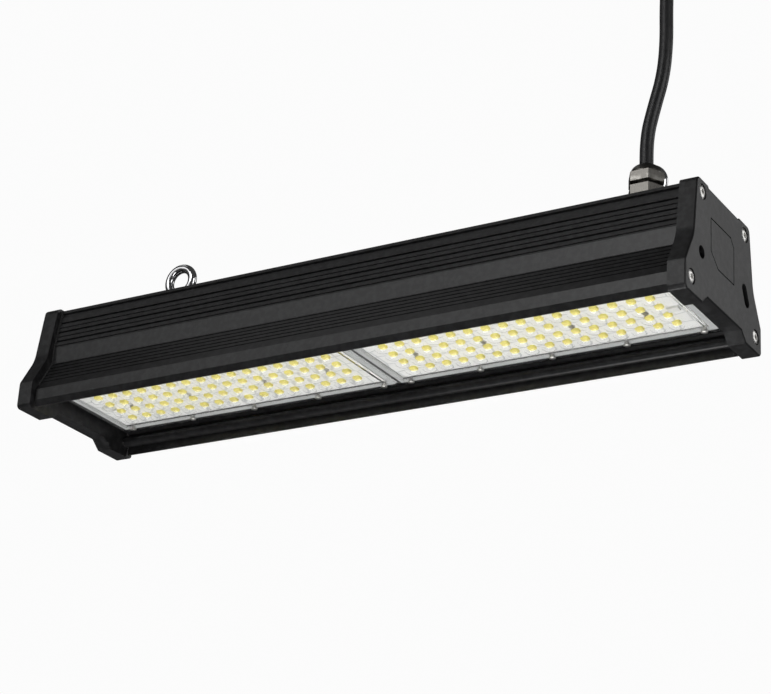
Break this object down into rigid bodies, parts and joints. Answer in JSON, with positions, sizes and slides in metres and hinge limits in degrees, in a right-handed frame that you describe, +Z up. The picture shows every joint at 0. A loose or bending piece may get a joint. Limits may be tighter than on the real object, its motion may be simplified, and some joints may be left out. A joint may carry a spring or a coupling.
{
  "type": "linear high bay light",
  "caption": "Long black LED high bay light with a finned heat sink, cast end caps, LED modules behind lens plates, hanging eyebolts and a supply cable from a gland.",
  "frame": {"origin": "centre of the light's footprint, on the plane its end caps' feet stand on", "axes": "+X along the light towards the cable gland's end, +Z up, -Y towards the side that the gland stands near"},
  "size_m": [0.572, 0.132, 0.316],
  "materials": {
    "black_extrusion": "black anodised extrusion, satin, with fine lengthwise grooves",
    "black_casting": "black powder-coated die casting, fine satin texture",
    "gasket_rubber": "black silicone rubber, matte",
    "white_silicone": "white silicone rubber, matte",
    "nickel_screws": "nickel-plated steel, bright",
    "led_board": "aluminium circuit board with white solder mask",
    "led_phosphor": "yellow phosphor on a white chip package",
    "clear_lens": "clear polycarbonate, gloss",
    "polished_steel": "polished zinc-plated steel",
    "nickel_brass": "nickel-plated brass, satin to bright",
    "cable_sheath": "black rubber sheath, satin",
    "black_plastic": "black moulded plastic, fine texture",
    "driver_metal": "plain folded aluminium, satin",
    "driver_board": "green glass-fibre circuit board",
    "ferrite": "dark ferrite core with a taped winding",
    "capacitor_can": "sleeved aluminium can",
    "white_plastic": "white moulded nylon",
    "wire_insulation": "PVC insulation"
  },
  "bodies": {
    "root": {"board_connectors": "white_plastic", "cable_gland_body": "nickel_brass", "cable_gland_cap_nut": "nickel_brass", "cable_gland_seal": "gasket_rubber", "cable_gland_washer": "gasket_rubber", "ceiling_rose_base": "black_plastic", "ceiling_rose_cord_grip": "black_plastic", "ceiling_rose_cover": "black_plastic", "driver_capacitors": "capacitor_can", "driver_case": "driver_metal", "driver_circuit_board": "driver_board", "driver_lid": "driver_metal", "driver_screws": "nickel_screws", "driver_transformer": "ferrite", "end_cap_gasket_left": "gasket_rubber", "end_cap_gasket_right": "gasket_rubber", "end_cap_left": "black_casting", "end_cap_right": "black_casting", "end_cap_screws_left": "nickel_screws", "end_cap_screws_right": "nickel_screws", "eyebolt_left": "polished_steel", "eyebolt_lock_nuts": "polished_steel", "eyebolt_right": "polished_steel", "eyebolt_washers": "polished_steel", "heat_sink_housing": "black_extrusion", "led_board_left": "led_board", "led_board_right": "led_board", "led_board_screws_left": "nickel_screws", "led_board_screws_right": "nickel_screws", "led_chips_left": "led_phosphor", "led_chips_right": "led_phosphor", "led_leads": "wire_insulation", "lens_gasket_left": "white_silicone", "lens_gasket_right": "white_silicone", "lens_plate_left": "clear_lens", "lens_plate_right": "clear_lens", "lens_screws_left": "nickel_screws", "lens_screws_right": "nickel_screws", "power_cable": "cable_sheath", "supply_cores": "wire_insulation", "terminal_block": "white_plastic"}
  },
  "joints": []
}
